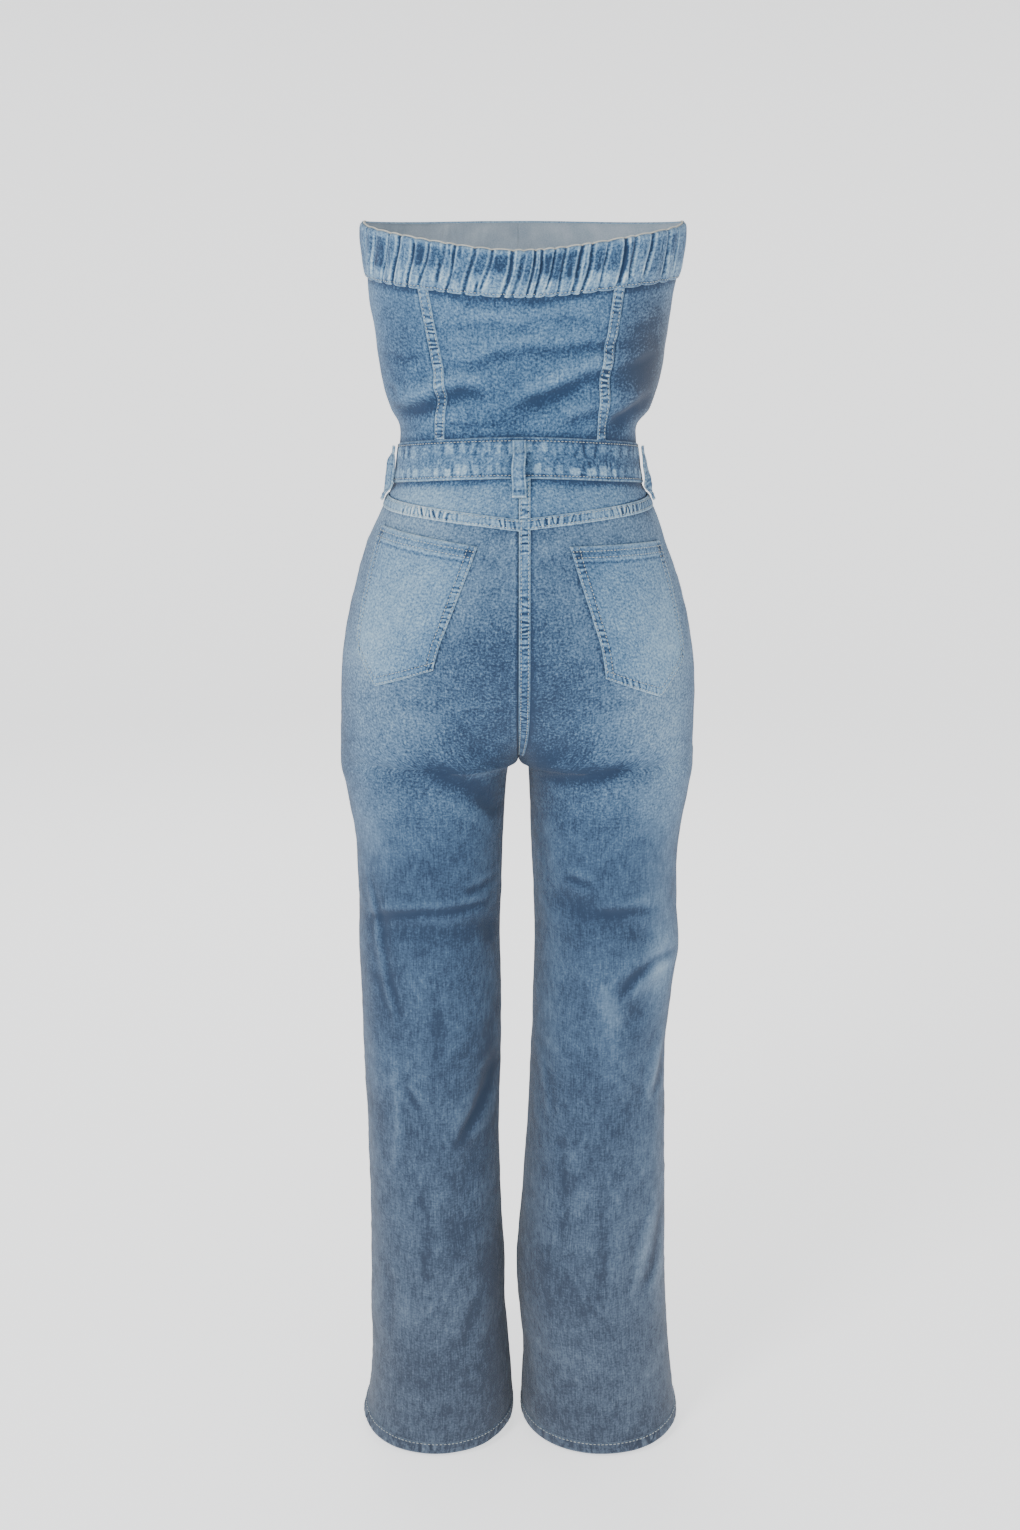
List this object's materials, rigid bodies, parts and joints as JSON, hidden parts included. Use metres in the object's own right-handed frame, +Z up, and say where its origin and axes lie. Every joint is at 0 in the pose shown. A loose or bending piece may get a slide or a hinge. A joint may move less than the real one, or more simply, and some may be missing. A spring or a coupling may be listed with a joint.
{
  "type": "strapless denim jumpsuit",
  "caption": "Strapless wide-leg denim jumpsuit with a gathered back band, seamed bodice, waistband with belt loops, yoked seat with patch pockets and hollow legs, in its worn form.",
  "frame": {"origin": "middle of the waist, level with the waistband's top edge at the back, where the wearer's waist holds the garment", "axes": "+Z up, +Y out of the garment's back, +X towards the wearer's left"},
  "size_m": [0.3541, 0.2474, 1.2572],
  "materials": {
    "seat_denim": "stretch denim, stone washed pale over the seat and pockets",
    "leg_denim": "stretch denim, mid blue with a soft vertical slub",
    "bodice_denim": "stretch denim, mid to light blue",
    "trim_denim": "doubled stretch denim, edges worn pale by washing",
    "button_metal": "aged plain metal, softly polished"
  },
  "bodies": {
    "root": {"top_band_back": "trim_denim", "top_band_front_left": "trim_denim", "top_band_front_right": "trim_denim", "band_placket": "trim_denim", "bodice_back_centre": "bodice_denim", "bodice_back_side_left": "bodice_denim", "bodice_back_side_right": "bodice_denim", "bodice_front_side_left": "bodice_denim", "bodice_front_side_right": "bodice_denim", "bodice_front_centre_left": "bodice_denim", "bodice_front_centre_right": "bodice_denim", "bodice_placket": "bodice_denim", "waistband_left": "trim_denim", "waistband_right": "trim_denim", "belt_loop_back": "trim_denim", "belt_loop_side_left": "trim_denim", "belt_loop_side_right": "trim_denim", "yoke_left": "seat_denim", "yoke_right": "seat_denim", "back_leg_left": "leg_denim", "back_leg_right": "leg_denim", "front_leg_left": "leg_denim", "front_leg_right": "leg_denim", "hem_left": "leg_denim", "hem_right": "leg_denim", "back_pocket_left": "seat_denim", "back_pocket_right": "seat_denim", "fly": "leg_denim", "waist_button": "button_metal", "bodice_button_1": "button_metal", "bodice_button_2": "button_metal", "bodice_button_3": "button_metal", "bodice_button_4": "button_metal", "bodice_button_5": "button_metal"}
  },
  "joints": []
}
